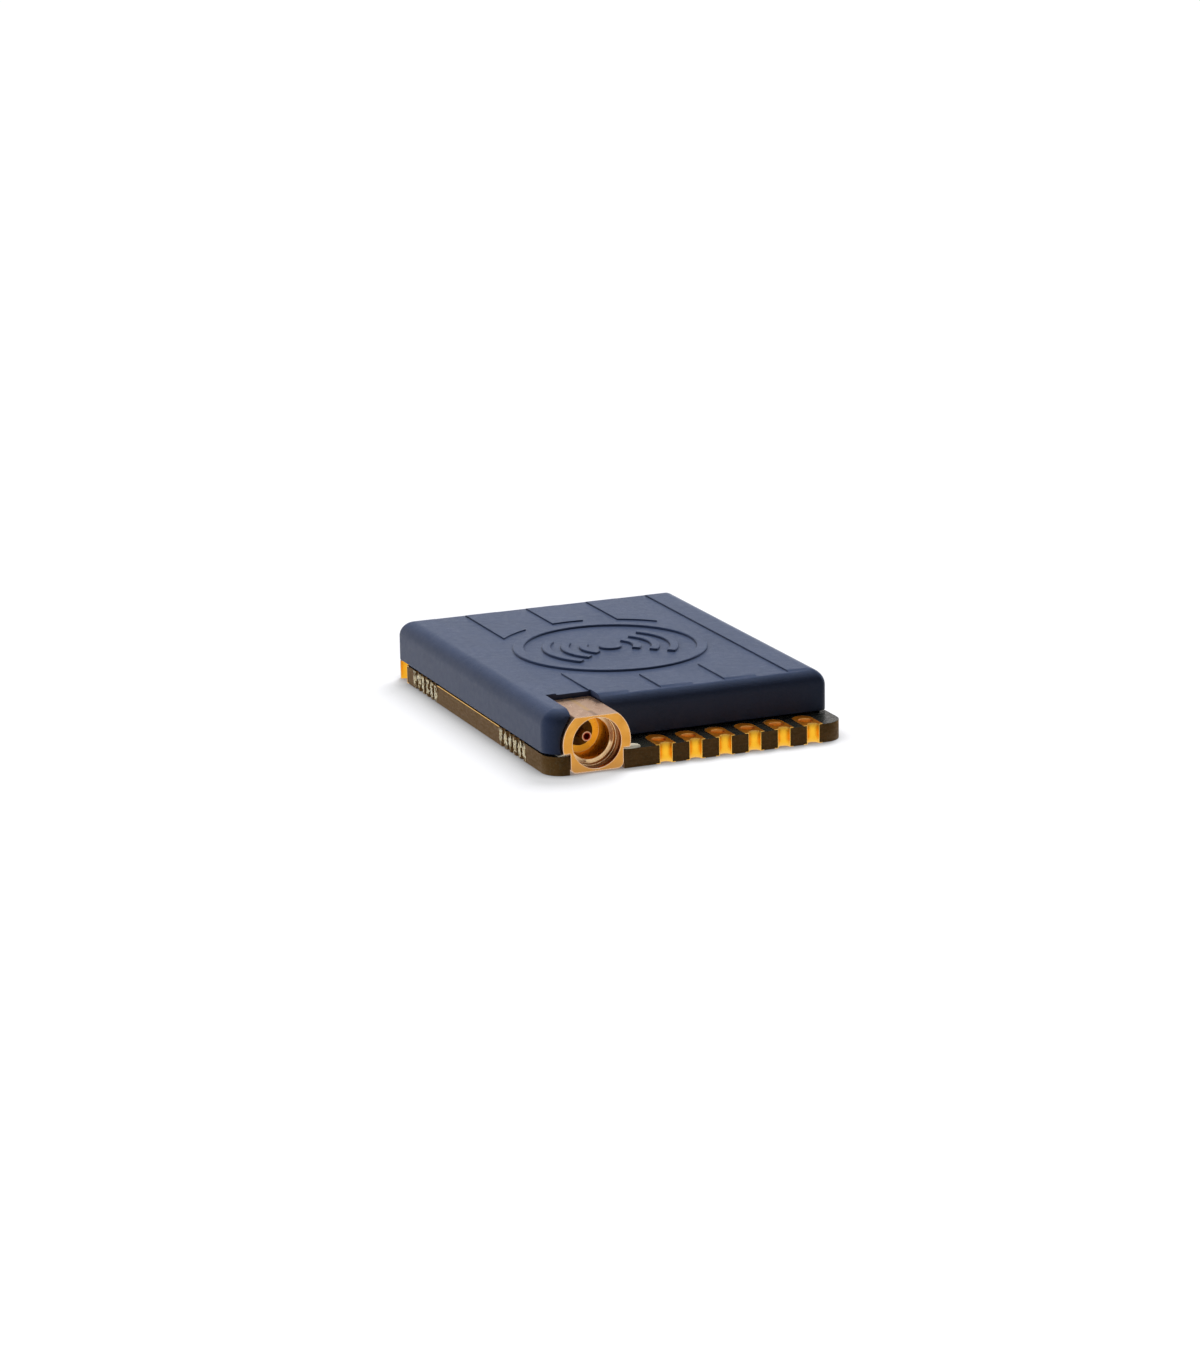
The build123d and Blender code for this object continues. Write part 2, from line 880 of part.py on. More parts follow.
def chip_resistors():
    chip = two_ended_chip(chip_resistor_size)
    placed = side_chips(chip, (1,), 3)
    placed += [seated(chip, x, supply_chip_y) for x in (linear_x, bulk_x)]
    front_y = room_front + part_wall_gap
    first_x = side_left + chip_resistor_size[0] / 2
    placed += [seated(chip, first_x + i * side_chip_step_x, front_y) for i in range(3)]
    return group(placed)


# Button and indicator lamps


def button_case():
    """Moulded case with a well for the dome and a slot that guides the plunger."""
    half = button_case_width / 2
    case = block(case_back, case_front, button_y - half, button_y + half, board_top, case_top)
    well = block(
        well_back,
        well_front,
        button_y - well_half_width,
        button_y + well_half_width,
        well_floor,
        case_top,
    )
    slot_half = plunger_width / 2 + button_running_gap
    slot = block(well_back, case_front, button_y - slot_half, button_y + slot_half, well_floor, case_top)
    return case - well - slot


def button_shell():
    """Folded sheet lid, whose skirts grip the case."""
    half = button_case_width / 2
    outer = half + button_shell_sheet
    top = case_top + button_shell_sheet
    shell = block(case_back, case_front, button_y - outer, button_y + outer, case_top, top)
    inset = button_back_wall
    for side in (-1, 1):
        y0 = button_y + min(side * half, side * outer)
        y1 = button_y + max(side * half, side * outer)
        bottom = case_top - button_shell_skirt
        shell += block(case_back + inset, case_front - inset, y0, y1, bottom, case_top)
    return shell


def button_terminals():
    """Flat legs at the back of the case, soldered to the board."""
    offset_y = button_case_width / 2 - terminal_width
    return group(
        block(
            case_back - terminal_reach,
            case_back,
            button_y + side * offset_y - terminal_width / 2,
            button_y + side * offset_y + terminal_width / 2,
            board_top,
            board_top + button_shell_sheet,
        )
        for side in (-1, 1)
    )


def button_dome():
    """Bowed spring strip that snaps under the plunger."""
    half = well_half_width - button_running_gap
    foot = well_back
    crown = flange_back - button_travel - dome_gap
    inner = crown - dome_thickness
    bow = ThreePointArc((foot, -half), (crown, 0), (foot, half))
    back = ThreePointArc((foot, half - dome_thickness), (inner, 0), (foot, dome_thickness - half))
    ends = Line((foot, half), (foot, half - dome_thickness))
    ends += Line((foot, dome_thickness - half), (foot, -half))
    outline = Pos(0, button_y) * make_face(bow + back + ends)
    return slab(outline, plunger_bottom, plunger_top)


def button_plunger():
    """Push key: a stem through the case's slot, held in by a flange."""
    face = half_width - plunger_recess
    stem_half = plunger_width / 2
    stem = block(
        flange_back, face, button_y - stem_half, button_y + stem_half, plunger_bottom, plunger_top
    )
    front = stem.edges().group_by(Axis.X)[-1]
    stem = fillet(front, button_opening_gap)
    half = plunger_flange_width / 2
    flange = block(
        flange_back, flange_front, button_y - half, button_y + half, plunger_bottom, plunger_top
    )
    return stem + flange


def indicator_lamp(y):
    """Side-facing lamp: a small block with a round lens towards the window."""
    half = lamp_width / 2
    back = lamp_front - lamp_depth
    body = block(back, lamp_front - lamp_depth / 3, y - half, y + half, board_top, board_top + lamp_height)
    lens = Circle(lamp_dome_radius) & rect(0, lamp_dome_radius, -lamp_dome_radius, lamp_dome_radius)
    lens = Pos(lamp_front - lamp_dome_radius, y) * lens
    return body + slab(lens, board_top, board_top + lamp_height)


os.makedirs("parts", exist_ok=True)

nodes = {
    "bottom_ground_pad": bottom_ground_pad(),
    "bulk_capacitors": bulk_capacitors(),
    "button_case": button_case(),
    "button_dome": button_dome(),
    "button_plunger": button_plunger(),
    "button_shell": button_shell(),
    "button_terminals": button_terminals(),
    "castellated_pads": group(castellated_pad(x) for x in pad_xs()),
    "chip_capacitors": chip_capacitors(),
    "chip_resistors": chip_resistors(),
    "circuit_board": circuit_board(),
    "corner_pads": group(corner_pad(side) for side in (-1, 1)),
    "cover_adhesive": cover_adhesive(),
    "crystal": crystal(),
    "edge_copper_strips": group(edge_strip(side) for side in (-1, 1)),
    "jack_body": jack_body(),
    "jack_contact": jack_contact(),
    "jack_insulator": jack_insulator(),
    "jack_solder_joints": jack_solder_joints(),
    "lamp_blue": indicator_lamp(lamp_ys[2]),
    "lamp_green": indicator_lamp(lamp_ys[1]),
    "lamp_red": indicator_lamp(lamp_ys[0]),
    "linear_regulator": linear_regulator(),
    "low_pass_filter": low_pass_filter(),
    "microcontroller": microcontroller(),
    "moulded_cover": moulded_cover(),
    "power_amplifier_chip": power_amplifier_chip(),
    "power_inductor": power_inductor(),
    "radio_chip": radio_chip(),
    "shield_frame": shield_frame(),
    "shield_lid": shield_lid(),
    "step_down_regulator": step_down_regulator(),
    "test_pads": test_pads(),
    "thermal_gap_pad": thermal_gap_pad(),
}

for name, shape in nodes.items():
    export_step(shape, f"parts/{name}.step")
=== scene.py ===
"""Looks of a board-mount video transmitter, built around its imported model. Sizes are metres."""

import math
import random

import bmesh
import bpy
from mathutils import Matrix, Vector


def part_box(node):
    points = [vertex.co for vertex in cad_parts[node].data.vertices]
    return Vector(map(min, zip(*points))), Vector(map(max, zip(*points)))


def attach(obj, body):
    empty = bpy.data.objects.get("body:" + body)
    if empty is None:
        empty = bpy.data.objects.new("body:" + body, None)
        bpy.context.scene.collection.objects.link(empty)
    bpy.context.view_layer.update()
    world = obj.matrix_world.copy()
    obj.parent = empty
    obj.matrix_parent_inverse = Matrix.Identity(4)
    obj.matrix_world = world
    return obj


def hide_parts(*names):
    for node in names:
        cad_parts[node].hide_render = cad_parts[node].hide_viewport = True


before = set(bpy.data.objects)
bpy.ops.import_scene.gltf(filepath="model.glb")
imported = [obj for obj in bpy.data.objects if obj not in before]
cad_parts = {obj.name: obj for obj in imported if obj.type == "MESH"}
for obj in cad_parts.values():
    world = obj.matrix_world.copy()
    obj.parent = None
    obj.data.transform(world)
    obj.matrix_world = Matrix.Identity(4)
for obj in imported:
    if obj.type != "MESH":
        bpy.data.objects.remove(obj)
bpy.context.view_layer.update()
MM = 0.001


# Moulded cover: one injection moulding in slate-coloured plastic, with raised strips and a ring
# on its top. The mould is spark-eroded, so the plastic has a fine even grain, and its edges are
# slightly broken.

SLATE_DARK = (0.055, 0.077, 0.138)
SLATE_PALE = (0.066, 0.09, 0.158)
SLATE_SPECKS = (0.11, 0.118, 0.175)
SLATE_PAINTED_SHADE = (0.01, 0.013, 0.022)
CORNER_SHADE_REACH = 0.22 * MM
GRAIN_DEPTH = 0.018 * MM
RIPPLE_DEPTH = 0.012 * MM
COVER_EDGE = 0.03 * MM
WELD = 0.0002 * MM
FLAT = math.radians(0.3)
PROBES = 8


def new_finish(name):
    """A material, its node tree and its shader."""
    material = bpy.data.materials.new(name)
    material.use_nodes = True
    tree = material.node_tree
    return material, tree, tree.nodes["Principled BSDF"]


def add(tree, kind, sockets=None, **settings):
    """A node with its settings, and its sockets set to values or linked to other nodes."""
    made = tree.nodes.new("ShaderNode" + kind)
    for key, value in settings.items():
        setattr(made, key, value)
    for key, value in (sockets or {}).items():
        if isinstance(value, bpy.types.NodeSocket):
            tree.links.new(value, made.inputs[key])
        else:
            made.inputs[key].default_value = value
    return made


def place(tree, stretch=(1, 1, 1)):
    """Position on the part, in millimetres, stretched along its axes."""
    position = add(tree, "TexCoord").outputs["Object"]
    scale = [factor / MM for factor in stretch]
    return add(tree, "Mapping", {"Vector": position, "Scale": scale}).outputs["Vector"]


def noise(tree, per_mm, detail=3.0, roughness=0.5, stretch=(1, 1, 1)):
    """Noise with so many features to the millimetre."""
    sockets = {
        "Vector": place(tree, stretch),
        "Scale": per_mm,
        "Detail": detail,
        "Roughness": roughness,
    }
    return add(tree, "TexNoise", sockets).outputs["Fac"]


def spread(tree, value, low=0.0, high=1.0, start=0.3, end=0.7):
    """Low up to start, high from end on, and even between. A noise lies mostly in 0.3 to 0.7."""
    sockets = {
        "Value": value,
        "From Min": start,
        "From Max": end,
        "To Min": low,
        "To Max": high,
    }
    return add(tree, "MapRange", sockets).outputs["Result"]


def mixed(tree, share, first, second):
    """Colour that goes from first to second as share goes from 0 to 1."""
    sockets = {0: share}
    for index, colour in ((6, first), (7, second)):
        linked = isinstance(colour, bpy.types.NodeSocket)
        sockets[index] = colour if linked else (*colour, 1.0)
    return add(tree, "Mix", sockets, data_type="RGBA").outputs[2]


def bump(tree, height, depth, under=None):
    """Normal of a relief of that depth, laid over another normal."""
    sockets = {"Height": height, "Distance": depth, "Strength": 1.0}
    if under:
        sockets["Normal"] = under
    return add(tree, "Bump", sockets).outputs["Normal"]


def drive(tree, shader, **sources):
    """Links a colour, roughness or normal to the shader."""
    for name, source in sources.items():
        tree.links.new(source, shader.inputs[name.replace("_", " ").title()])


def painted_corner_shade(tree, reach, share):
    """Painted shade: up to that share in corners that are narrower than reach, and 0 on open
    faces.
    """
    open_sky = add(tree, "AmbientOcclusion", {"Distance": reach}, samples=PROBES).outputs["AO"]
    return spread(tree, open_sky, low=share, high=0.0, start=0.35, end=0.95)


def slate_plastic():
    material, tree, shader = new_finish("slate_plastic")
    colour = mixed(tree, spread(tree, noise(tree, per_mm=0.35)), SLATE_DARK, SLATE_PALE)
    specks = spread(tree, noise(tree, per_mm=9.0, detail=2.0), high=0.22, start=0.35, end=0.75)
    colour = mixed(tree, specks, colour, SLATE_SPECKS)
    # Painted shade: the plastic is painted darker in its corners and at the foot of its steps.
    colour = mixed(tree, painted_corner_shade(tree, CORNER_SHADE_REACH, share=0.75), colour, SLATE_PAINTED_SHADE)
    grain = bump(tree, noise(tree, per_mm=11.0, roughness=0.6), GRAIN_DEPTH)
    ripple = bump(tree, noise(tree, per_mm=1.6, detail=2.0), RIPPLE_DEPTH, under=grain)
    rough = spread(tree, noise(tree, per_mm=2.5), low=0.32, high=0.4)
    drive(tree, shader, base_color=colour, roughness=rough, normal=ripple)
    shader.inputs["Specular IOR Level"].default_value = 0.12
    return material


def new_piece(shape, name):
    """The worked shape as a piece of its own."""
    mesh = bpy.data.meshes.new(name)
    shape.to_mesh(mesh)
    shape.free()
    piece = bpy.data.objects.new(name, mesh)
    bpy.context.collection.objects.link(piece)
    return piece


def broken_edges(node, name, radius, sharp=30.0, segments=2):
    """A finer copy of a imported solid, with its sharp edges rounded as on the real piece."""
    shape = bmesh.new()
    shape.from_mesh(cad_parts[node].data)
    bmesh.ops.remove_doubles(shape, verts=shape.verts, dist=WELD)
    bmesh.ops.dissolve_limit(shape, angle_limit=FLAT, verts=shape.verts, edges=shape.edges)
    piece = new_piece(shape, name)
    piece.data.shade_smooth()
    round_off = piece.modifiers.new("round_off", "BEVEL")
    round_off.width = radius
    round_off.segments = segments
    round_off.limit_method = "ANGLE"
    round_off.angle_limit = math.radians(sharp)
    round_off.miter_outer = "MITER_ARC"
    weigh = piece.modifiers.new("weigh", "WEIGHTED_NORMAL")
    weigh.keep_sharp = True
    weigh.weight = 100
    return piece


def stand_in(piece, node, material, body="module"):
    """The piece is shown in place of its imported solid."""
    piece.data.materials.clear()
    piece.data.materials.append(material)
    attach(piece, body)
    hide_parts(node)


cover = broken_edges("moulded_cover", "slate_cover", COVER_EDGE)
stand_in(cover, "moulded_cover", slate_plastic())


# Gasket: a strip of black foam tape between the cover's rim and the board.
# Its cut edge is dull and full of small pores.

TAPE_DARK = (0.012, 0.012, 0.014)
TAPE_PALE = (0.04, 0.04, 0.042)
PORES_PER_MM = 14.0
PORE_DEPTH = 0.02 * MM


def foam_tape():
    material, tree, shader = new_finish("foam_tape")
    cells = add(tree, "TexVoronoi", {"Vector": place(tree), "Scale": PORES_PER_MM})
    pores = cells.outputs["Distance"]
    colour = mixed(tree, pores, TAPE_DARK, TAPE_PALE)
    drive(tree, shader, base_color=colour, normal=bump(tree, pores, PORE_DEPTH))
    shader.inputs["Roughness"].default_value = 0.9
    shader.inputs["Specular IOR Level"].default_value = 0.2
    return material


def finish_node(node, material):
    """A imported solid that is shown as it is, in a better finish."""
    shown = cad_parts[node].data.materials
    for index in range(len(shown)):
        shown[index] = material


finish_node("cover_adhesive", foam_tape())


# Circuit board: glass cloth and epoxy, pressed in layers and routed to shape, with a dark solder
# mask on both faces. The routed edge shows the layers and the cut ends of the glass bundles.

BOARD_SIDE, _, BOARD_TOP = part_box("circuit_board")[1]
BOARD_EDGE = 0.02 * MM
RESIN_DARK = (0.17, 0.07, 0.012)
RESIN_PALE = (0.23, 0.115, 0.028)
RESIN_SHEEN = (1.0, 0.66, 0.38)
GLASS_BUNDLES = (0.15, 0.08, 0.02)
CUT_GLASS = (0.4, 0.32, 0.17)
CUT_DEPTH = 0.02 * MM
MASK_DARK = (0.010, 0.011, 0.009)
MASK_PALE = (0.018, 0.019, 0.014)


def worked(tree, operation, first, second=0.0):
    """One step of arithmetic."""
    return add(tree, "Math", {0: first, 1: second}, operation=operation).outputs[0]


def between(tree, share, first, second):
    """Number that goes from first to second as share goes from 0 to 1."""
    return add(tree, "Mix", {0: share, 2: first, 3: second}).outputs[0]


def along(tree, vector, axis):
    """The vector's part along one axis."""
    return add(tree, "SeparateXYZ", {0: vector}).outputs[axis]


def facing(tree, axis):
    """How far the surface looks along an axis, from -1 to 1."""
    return along(tree, add(tree, "NewGeometry").outputs["Normal"], axis)


def on_level_face(tree):
    """1 on faces that look up or down, and 0 on upright ones."""
    return worked(tree, "GREATER_THAN", worked(tree, "ABSOLUTE", facing(tree, "Z")), 0.7)


def routed_laminate():
    """Mask on the flat faces and bare laminate on the cut ones."""
    material, tree, shader = new_finish("routed_laminate")
    layers = noise(tree, per_mm=1.0, detail=2.0, stretch=(0.25, 0.25, 9.0))
    bundles = noise(tree, per_mm=2.2, roughness=0.6, stretch=(1.0, 1.0, 3.0))
    edge = mixed(tree, spread(tree, layers), RESIN_DARK, RESIN_PALE)
    edge = mixed(tree, spread(tree, bundles, high=0.7), edge, GLASS_BUNDLES)
    cut_ends = spread(tree, noise(tree, per_mm=6.0), high=0.3, start=0.5, end=0.8)
    edge = mixed(tree, cut_ends, edge, CUT_GLASS)
    mask = mixed(tree, spread(tree, noise(tree, per_mm=0.8)), MASK_DARK, MASK_PALE)
    on_mask = on_level_face(tree)
    rough_edge = spread(tree, bundles, low=0.55, high=0.75)
    rough_mask = spread(tree, noise(tree, per_mm=3.0), low=0.22, high=0.32)
    cuts = noise(tree, per_mm=5.0, detail=4.0, roughness=0.65, stretch=(1.0, 1.0, 2.0))
    drive(
        tree,
        shader,
        base_color=mixed(tree, on_mask, edge, mask),
        roughness=between(tree, on_mask, rough_edge, rough_mask),
        normal=bump(tree, cuts, CUT_DEPTH),
    )
    shader.inputs["Specular IOR Level"].default_value = 0.55
    shader.inputs["Specular Tint"].default_value = (*RESIN_SHEEN, 1.0)
    return material


board = broken_edges("circuit_board", "laminate_board", BOARD_EDGE, sharp=60.0, segments=1)
stand_in(board, "circuit_board", routed_laminate())


# Torn tabs: where the board was broken out of its panel, pale glass fibres stand out of the webs
# between the drilled holes. They are modelled as short slivers, most of them upright.

TAB_PITCH = 0.8 * MM
TAB_HOLES = 5
TAB_MIDDLES = (-7.4 * MM, 8.3 * MM)
WEB_WIDTH = 0.4 * MM
WEB_HEIGHTS = (0.75, 0.97)
SLIVERS_PER_WEB = 34
FROM_MASK = 0.02 * MM
GLASS_DARK = (0.75, 0.6, 0.34)
GLASS_PALE = (0.98, 0.92, 0.7)

# A sliver's own sizes, in millimetres: how deep it is rooted, how far it leans outward and slants
# along the edge, how far it rises or falls, and its thickness.
ROOT = 0.03
LEAN = 0.06
SLANT = 0.08
RISE = (0.1, 0.4)
THICKNESS = (0.045, 0.08)


def sliver(shape, foot, tip, thickness):
    """A thin three-sided spike from foot to tip."""
    spine = (tip - foot).normalized()
    side = spine.orthogonal().normalized() * thickness
    turn = Matrix.Rotation(math.radians(120), 3, spine)
    ring = [foot + side, foot + turn @ side, foot + turn @ turn @ side]
    base = [shape.verts.new(point) for point in ring]
    point = shape.verts.new(tip)
    for i in range(3):
        shape.faces.new((base[i], base[(i + 1) % 3], point))
    shape.faces.new(base[::-1])


def torn_web(shape, draw, side, web_y):
    """The slivers of one web, rooted in the board's edge."""
    height = BOARD_TOP * draw.uniform(*WEB_HEIGHTS)
    for _ in range(SLIVERS_PER_WEB):
        z = draw.uniform(BOARD_TOP - height, height)
        y = web_y + draw.uniform(-0.5, 0.5) * WEB_WIDTH
        foot = Vector((side * (BOARD_SIDE - draw.uniform(0, ROOT) * MM), y, z))
        reach = Vector((
            side * draw.uniform(0.0, LEAN),
            draw.gauss(0, SLANT),
            draw.choice((-1, 1)) * draw.uniform(*RISE),
        ))
        tip = foot + reach * MM
        tip.z = min(max(tip.z, FROM_MASK), BOARD_TOP - FROM_MASK)
        sliver(shape, foot, tip, draw.uniform(*THICKNESS) * MM)


def torn_fibres():
    shape = bmesh.new()
    draw = random.Random(7)
    for side in (-1, 1):
        for middle in TAB_MIDDLES:
            for web in range(TAB_HOLES + 1):
                torn_web(shape, draw, side, middle + (web - TAB_HOLES / 2) * TAB_PITCH)
    return new_piece(shape, "torn_fibres")


def bare_glass():
    material, tree, shader = new_finish("bare_glass")
    colour = mixed(tree, spread(tree, noise(tree, per_mm=3.0)), GLASS_DARK, GLASS_PALE)
    drive(tree, shader, base_color=colour)
    shader.inputs["Roughness"].default_value = 0.4
    shader.inputs["Metallic"].default_value = 0.55
    return material


fibres = torn_fibres()
fibres.data.materials.append(bare_glass())
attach(fibres, "module")


# Gold plating: the copper lands, castellated holes and edge copper are plated with nickel and
# thin gold. It is soft-bright and shows the copper's etched grain, with painted highlights on its
# rims and painted shade, darker and redder, down in the pads' round holes.

PAD_EDGE = 0.015 * MM
HALF_HOLE_REACH = 0.6 * MM
HOLE_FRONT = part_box("castellated_pads")[0].y + HALF_HOLE_REACH
GOLD_EDGE_HIGHLIGHT = (1.0, 0.7, 0.3)
GOLD_HIGHLIGHT_REACH = 0.08 * MM
ETCH_DEPTH = 0.005 * MM
WALL_ROUGHNESS = 0.42
LAND_ROUGHNESS = 0.5


def painted_edge_highlight(tree, reach):
    """Mask for painted highlights: up to 1 along edges, in a band that wide, and 0 on open faces.
    """
    flat = add(tree, "NewGeometry").outputs["True Normal"]
    eased = add(tree, "Bevel", {"Radius": reach}, samples=PROBES).outputs["Normal"]
    alike = add(tree, "VectorMath", {0: flat, 1: eased}, operation="DOT_PRODUCT").outputs["Value"]
    return spread(tree, alike, low=1.0, high=0.0, start=0.8, end=0.97)


def dimmed(colour, share):
    """The colour at that share of its brightness."""
    return tuple(share * part for part in colour)


def soft_gold(name, wall, shaded_hole, land):
    """Lands duller than the holes' walls, painted shade in round holes unlike half holes, and
    painted highlights on rims.
    """
    material, tree, shader = new_finish(name)
    front = HOLE_FRONT / MM
    in_hole = spread(tree, along(tree, place(tree), "Y"), start=front - 0.05, end=front)
    walls = mixed(tree, in_hole, wall, shaded_hole)
    lands = mixed(tree, spread(tree, noise(tree, per_mm=1.8)), dimmed(land, 0.86), land)
    on_land = on_level_face(tree)
    # Painted highlight: the rims are painted pale.
    highlight_rims = worked(tree, "MULTIPLY", painted_edge_highlight(tree, GOLD_HIGHLIGHT_REACH), 0.8)
    colour = mixed(tree, highlight_rims, mixed(tree, on_land, walls, lands), GOLD_EDGE_HIGHLIGHT)
    dullness = spread(tree, noise(tree, per_mm=3.0), low=-0.05, high=0.05)
    rough = worked(tree, "ADD", between(tree, on_land, WALL_ROUGHNESS, LAND_ROUGHNESS), dullness)
    etched = bump(tree, noise(tree, per_mm=8.0, roughness=0.6), ETCH_DEPTH)
    drive(tree, shader, base_color=colour, roughness=rough, normal=etched)
    shader.inputs["Metallic"].default_value = 1.0
    return material


# Painted shade: on the front pads the lands are painted a darker orange-brown and the round holes
# a darker red than on the plain gold.
shaded_pad_gold = soft_gold(
    "shaded_pad_gold",
    wall=(1.0, 0.54, 0.035),
    shaded_hole=(0.9, 0.26, 0.008),
    land=(0.93, 0.32, 0.016),
)
clean_gold = soft_gold(
    "clean_gold",
    wall=(0.98, 0.48, 0.03),
    shaded_hole=(0.98, 0.48, 0.03),
    land=(0.98, 0.52, 0.06),
)
pads = broken_edges("castellated_pads", "plated_pads", PAD_EDGE, sharp=40.0, segments=1)
stand_in(pads, "castellated_pads", shaded_pad_gold)
for node in ("corner_pads", "edge_copper_strips", "bottom_ground_pad", "test_pads"):
    finish_node(node, clean_gold)


# Coax jack: the shell is turned and milled from brass and thinly plated, so its faces are satin
# with fine tool marks; its edges carry painted highlights, the face painted shade low down, and
# the mouth is dark brown. A brown plastic bead holds the gold-plated socket contact on its axis.

JACK_X = sum(corner.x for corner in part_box("jack_insulator")) / 2
JACK_Z = sum(corner.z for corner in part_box("jack_insulator")) / 2
JACK_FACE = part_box("jack_body")[0].y
BORE_LIMIT = 1.74 * MM
MOUTH_DEPTH = 1.2 * MM
SOCKET_RADIUS = 1.33 * MM
SHELL_EDGE = 0.03 * MM
BRASS_HIGHLIGHT_REACH = 0.14 * MM
TOOL_MARKS = 0.005 * MM
BEAD_MARKS = 0.006 * MM

FACE_DEEP = (0.62, 0.27, 0.04)
FACE_BRIGHT = (0.74, 0.35, 0.065)
FACE_PAINTED_SHADE = (0.5, 0.24, 0.07)
FLANK_DEEP = (0.86, 0.5, 0.3)
FLANK_BRIGHT = (0.94, 0.6, 0.38)
BRASS_EDGE_HIGHLIGHT = (1.0, 0.84, 0.68)
MOUTH_WALL_DARK = (0.3, 0.1, 0.02)
PLATED_WALL = (1.0, 0.6, 0.12)
INNER_STEP = (1.0, 0.55, 0.07)
MOUTH_STEP = (0.95, 0.66, 0.36)
BEAD_DARK = (0.14, 0.065, 0.012)
BEAD_PALE = (0.24, 0.12, 0.02)
CONTACT_DEEP = (0.88, 0.46, 0.25)
CONTACT_BRIGHT = (0.96, 0.56, 0.33)
HOLE_PAINTED_SHADE = (0.6, 0.05, 0.01)
SIDE_PAINTED_SHADE = (0.13, 0.055, 0.012)


def from_jack_axis(tree):
    """Distance from the jack's axis and depth behind its face, in millimetres."""
    mouth = (JACK_X / MM, JACK_FACE / MM, JACK_Z / MM)
    centred = add(tree, "VectorMath", {0: place(tree), 1: mouth}, operation="SUBTRACT").outputs[0]
    flat = add(tree, "VectorMath", {0: centred, 1: (1, 0, 1)}, operation="MULTIPLY").outputs[0]
    radius = add(tree, "VectorMath", {0: flat}, operation="LENGTH").outputs["Value"]
    return radius, along(tree, centred, "Y")


def facing_out(tree):
    """1 on faces that look out of the jack's mouth, and 0 on its walls."""
    return spread(tree, facing(tree, "Y"), low=1.0, high=0.0, start=-0.9, end=-0.6)


def turning_rings(tree, per_mm):
    """Rings about the jack's axis, as the lathe leaves them."""
    radius, depth = from_jack_axis(tree)
    across = add(tree, "CombineXYZ", {"X": radius, "Y": depth}).outputs[0]
    sockets = {"Vector": across, "Scale": per_mm, "Detail": 2.0}
    return add(tree, "TexNoise", sockets).outputs["Fac"]


def turned_outside(tree):
    """Satin face with painted shade low down, rosier flanks with painted light, and painted edge
    highlights.
    """
    tone = spread(tree, noise(tree, per_mm=1.4))
    # Painted shade: the face is painted browner towards its bottom.
    low_shade = spread(tree, along(tree, place(tree), "Z"), low=0.8, high=0.0, start=0.1, end=1.2)
    face = mixed(tree, low_shade, mixed(tree, tone, FACE_DEEP, FACE_BRIGHT), FACE_PAINTED_SHADE)
    # Partly painted light: the flanks and top are rosier, and also painted paler for the light
    # they catch.
    flanks = mixed(tree, tone, FLANK_DEEP, FLANK_BRIGHT)
    outside = mixed(tree, facing_out(tree), flanks, face)
    # Painted highlight: the edges are painted pale.
    return mixed(tree, painted_edge_highlight(tree, BRASS_HIGHLIGHT_REACH), outside, BRASS_EDGE_HIGHLIGHT)


def bored_inside(tree, radius, depth):
    """Dark brown walls in the mouth, and thick plating behind its step."""
    step_depth = MOUTH_DEPTH / MM
    step_rim = SOCKET_RADIUS / MM
    deeper = spread(tree, depth, start=step_depth - 0.08, end=step_depth + 0.02)
    walls = mixed(tree, deeper, MOUTH_WALL_DARK, PLATED_WALL)
    at_mouth = spread(tree, radius, start=step_rim - 0.06, end=step_rim)
    steps = mixed(tree, at_mouth, INNER_STEP, MOUTH_STEP)
    return mixed(tree, facing_out(tree), walls, steps)


def satin_brass():
    """One finish outside and another in the bore, both with tool marks."""
    material, tree, shader = new_finish("satin_brass")
    radius, depth = from_jack_axis(tree)
    limit = BORE_LIMIT / MM
    near_axis = spread(tree, radius, low=1.0, high=0.0, start=limit, end=limit + 0.02)
    behind_face = spread(tree, depth, start=0.03, end=0.08)
    in_bore = worked(tree, "MULTIPLY", near_axis, behind_face)
    colour = mixed(tree, in_bore, turned_outside(tree), bored_inside(tree, radius, depth))
    rings = bump(tree, turning_rings(tree, per_mm=14.0), TOOL_MARKS)
    marks = bump(tree, noise(tree, per_mm=9.0, roughness=0.6), TOOL_MARKS, under=rings)
    rough = spread(tree, noise(tree, per_mm=4.0), low=0.26, high=0.36)
    drive(tree, shader, base_color=colour, roughness=rough, normal=marks)
    shader.inputs["Metallic"].default_value = 1.0
    return material


def brown_bead():
    material, tree, shader = new_finish("brown_bead")
    colour = mixed(tree, spread(tree, noise(tree, per_mm=2.0)), BEAD_DARK, BEAD_PALE)
    rings = bump(tree, turning_rings(tree, per_mm=10.0), BEAD_MARKS)
    drive(tree, shader, base_color=colour, normal=rings)
    shader.inputs["Roughness"].default_value = 0.5
    shader.inputs["Specular IOR Level"].default_value = 0.2
    return material


def contact_plating():
    """Rosy gold on the contact's rim, with dark painted shade in its hole and on its side."""
    material, tree, shader = new_finish("contact_plating")
    rim = mixed(tree, spread(tree, noise(tree, per_mm=4.0)), CONTACT_DEEP, CONTACT_BRIGHT)
    radius, _ = from_jack_axis(tree)
    past_hole = spread(tree, radius, start=0.23, end=0.26)
    on_rim = worked(tree, "MULTIPLY", facing_out(tree), past_hole)
    # Painted shade: the hole is painted dark red and the contact's side dark brown.
    painted_shade = mixed(tree, past_hole, HOLE_PAINTED_SHADE, SIDE_PAINTED_SHADE)
    drive(tree, shader, base_color=mixed(tree, on_rim, painted_shade, rim))
    shader.inputs["Metallic"].default_value = 0.6
    shader.inputs["Roughness"].default_value = 0.4
    return material


shell = broken_edges("jack_body", "brass_shell", SHELL_EDGE, sharp=35.0)
stand_in(shell, "jack_body", satin_brass())
finish_node("jack_insulator", brown_bead())
finish_node("jack_contact", contact_plating())


